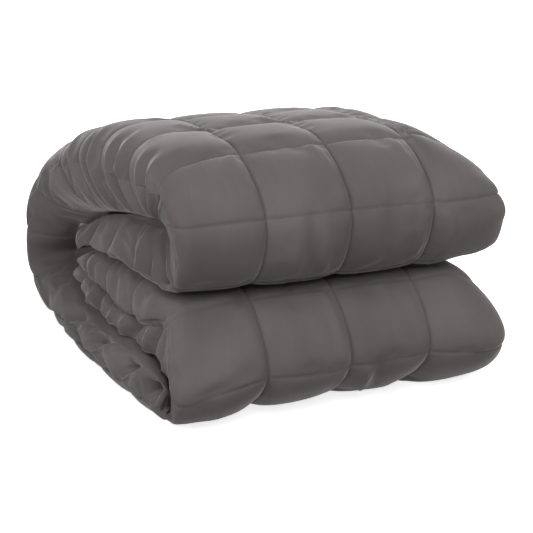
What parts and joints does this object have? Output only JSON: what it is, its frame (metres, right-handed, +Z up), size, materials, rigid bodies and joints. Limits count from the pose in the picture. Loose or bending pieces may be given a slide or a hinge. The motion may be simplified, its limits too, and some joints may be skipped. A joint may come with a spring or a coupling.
{
  "type": "weighted blanket",
  "caption": "Quilted weighted blanket folded into a low rectangular stack, with two soft rounded folds at the front and a folded spine at the back.",
  "frame": {"origin": "middle of the footprint, on the surface the folded blanket lies on", "axes": "+X runs along the front to the right as seen from the front, +Y points to the back, where the fold has its spine, and +Z points up"},
  "size_m": [0.4576, 0.6692, 0.3134],
  "materials": {
    "brushed_cloth": "matt brushed microfibre with a faint sheen"
  },
  "bodies": {
    "root": {"weighted_blanket": "brushed_cloth"}
  },
  "joints": []
}
